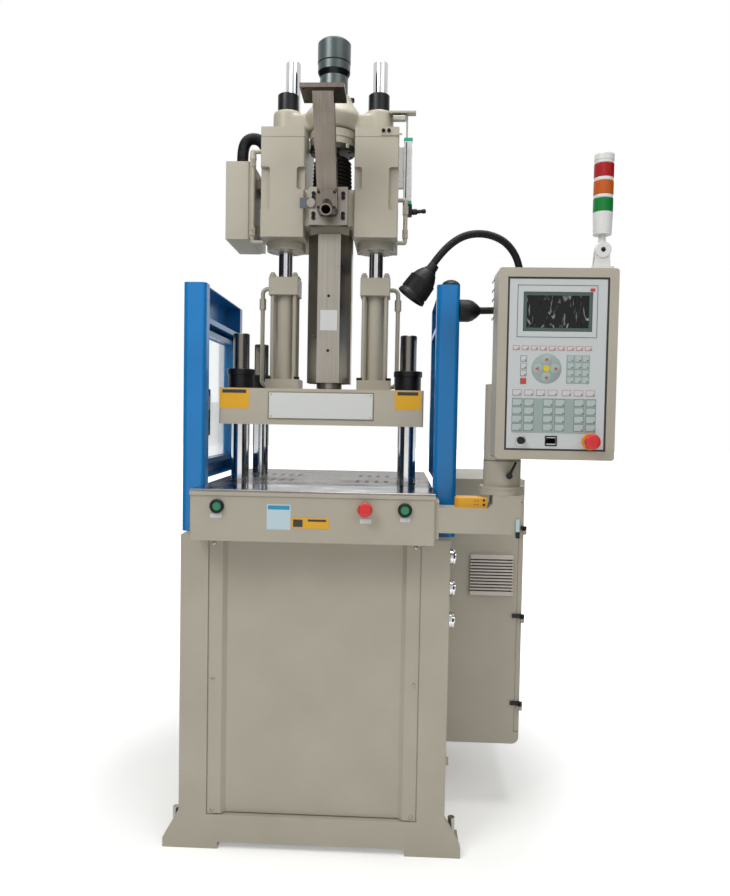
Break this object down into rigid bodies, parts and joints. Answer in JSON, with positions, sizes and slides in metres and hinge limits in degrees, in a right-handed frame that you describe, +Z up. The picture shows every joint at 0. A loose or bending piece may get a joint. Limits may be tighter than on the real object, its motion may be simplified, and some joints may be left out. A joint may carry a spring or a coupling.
{
  "type": "vertical injection moulding machine",
  "caption": "Vertical injection moulding machine with a moving platen on tie bars, an upright injection unit, side guards, control cabinet, swivelling control panel and work lamp.",
  "frame": {"origin": "on the floor under the nozzle axis, at the middle of the four anchor holes", "axes": "+X to the operator's right, +Y away from the operator, +Z up along the nozzle axis"},
  "size_m": [1.208, 1.0102, 2.466],
  "materials": {
    "beige_enamel": "satin enamel",
    "machined_steel": "ground and milled",
    "chrome": "polished",
    "black_steel": "blackened",
    "blue_enamel": "gloss enamel",
    "clear_sheet": "clear sheet",
    "brushed_steel": "brushed",
    "grey_enamel": "satin enamel",
    "black_plastic": "matte",
    "panel_grey": "satin enamel",
    "white_plastic": "matte",
    "screen_glass": "gloss",
    "green_plastic": "gloss",
    "red_plastic": "gloss",
    "yellow_plastic": "matte",
    "lens_plastic": "gloss"
  },
  "bodies": {
    "base": {"base_frame": "beige_enamel", "levelling_bolts": "black_steel", "front_cover": "beige_enamel", "rear_cover": "beige_enamel", "oil_tank": "beige_enamel", "water_couplings": "chrome", "lower_platen": "beige_enamel", "table_plate": "machined_steel", "front_apron": "beige_enamel", "button_collars": "black_plastic", "clamp_cylinder": "beige_enamel", "guard_frames": "blue_enamel", "guard_windows": "clear_sheet", "control_cabinet": "beige_enamel", "cabinet_vent": "grey_enamel", "cabinet_hinges": "black_steel", "control_gear": "black_plastic", "panel_arm": "beige_enamel", "safety_switch": "yellow_plastic", "pillar": "beige_enamel", "work_lamp": "black_plastic"},
    "clamp": {"clamp_crosshead": "beige_enamel", "tie_bars": "chrome", "tie_bar_nuts": "black_steel", "upper_platen": "beige_enamel", "carriage_cylinders": "beige_enamel", "cylinder_tie_rods": "beige_enamel", "carriage_pipes": "beige_enamel"},
    "injection_unit": {"carriage_rams": "chrome", "injection_blocks": "beige_enamel", "block_covers": "beige_enamel", "guide_rods": "chrome", "throat_block": "beige_enamel", "feed_plate": "machined_steel", "feed_chute": "brushed_steel", "barrel": "brushed_steel", "heater_cover": "brushed_steel", "junction_box": "beige_enamel", "conduit": "black_plastic", "block_pipes": "beige_enamel", "stroke_sensor": "panel_grey"},
    "beam": {"injection_beam": "beige_enamel", "injection_rods": "chrome", "bearing_housing": "beige_enamel", "screw_motor": "grey_enamel", "sensor_arm": "brushed_steel"},
    "screw": {"screw": "brushed_steel"},
    "door": {"cabinet_door": "beige_enamel"},
    "panel": {"panel_case": "beige_enamel", "panel_face": "panel_grey", "screen": "screen_glass", "tower_clevis": "white_plastic"},
    "lever": {"clamp_lever": "black_steel"},
    "tower": {"tower_pole": "white_plastic", "tower_lenses": "lens_plastic"},
    "start_left": {"start_button_left": "green_plastic"},
    "start_right": {"start_button_right": "green_plastic"},
    "stop": {"stop_button": "red_plastic"},
    "panel_stop": {"panel_stop": "red_plastic"},
    "knob": {"panel_knob": "black_plastic"}
  },
  "joints": [
    {"name": "clamp_stroke", "type": "slide", "parent": "base", "child": "clamp", "axis": [0, 0, 1], "range_m": [-0.1, 0.07]},
    {"name": "carriage_stroke", "type": "slide", "parent": "clamp", "child": "injection_unit", "axis": [0, 0, 1], "range_m": [0, 0.12]},
    {"name": "injection_stroke", "type": "slide", "parent": "injection_unit", "child": "beam", "axis": [0, 0, 1], "range_m": [0, 0.13]},
    {"name": "screw_turn", "type": "hinge", "parent": "beam", "child": "screw", "pos_m": [0, 0, 2.2], "axis": [0, 0, 1], "continuous": true},
    {"name": "cabinet_door_swing", "type": "hinge", "parent": "base", "child": "door", "pos_m": [0.638, -0.087, 0.62], "axis": [0, 0, 1], "range_deg": [-110, 0]},
    {"name": "panel_swivel", "type": "hinge", "parent": "base", "child": "panel", "pos_m": [0.518, -0.4, 1.17], "axis": [0, 0, 1], "range_deg": [-40, 60]},
    {"name": "lever_turn", "type": "hinge", "parent": "base", "child": "lever", "pos_m": [0.53, -0.452, 1.102], "axis": [0, 1, 0], "range_deg": [-60, 60]},
    {"name": "tower_fold", "type": "hinge", "parent": "panel", "child": "tower", "pos_m": [0.744, -0.51, 1.692], "axis": [0, 1, 0], "range_deg": [0, 90]},
    {"name": "start_left_press", "type": "slide", "parent": "base", "child": "start_left", "axis": [0, 1, 0], "range_m": [0, 0.004], "stiffness_N_per_m": 500},
    {"name": "start_right_press", "type": "slide", "parent": "base", "child": "start_right", "axis": [0, 1, 0], "range_m": [0, 0.004], "stiffness_N_per_m": 500},
    {"name": "stop_press", "type": "slide", "parent": "base", "child": "stop", "axis": [0, 1, 0], "range_m": [0, 0.005]},
    {"name": "panel_stop_press", "type": "slide", "parent": "panel", "child": "panel_stop", "axis": [0, 1, 0], "range_m": [0, 0.005]},
    {"name": "knob_turn", "type": "hinge", "parent": "panel", "child": "knob", "pos_m": [0.541, -0.56, 1.201], "axis": [0, 1, 0], "range_deg": [-45, 45]}
  ]
}
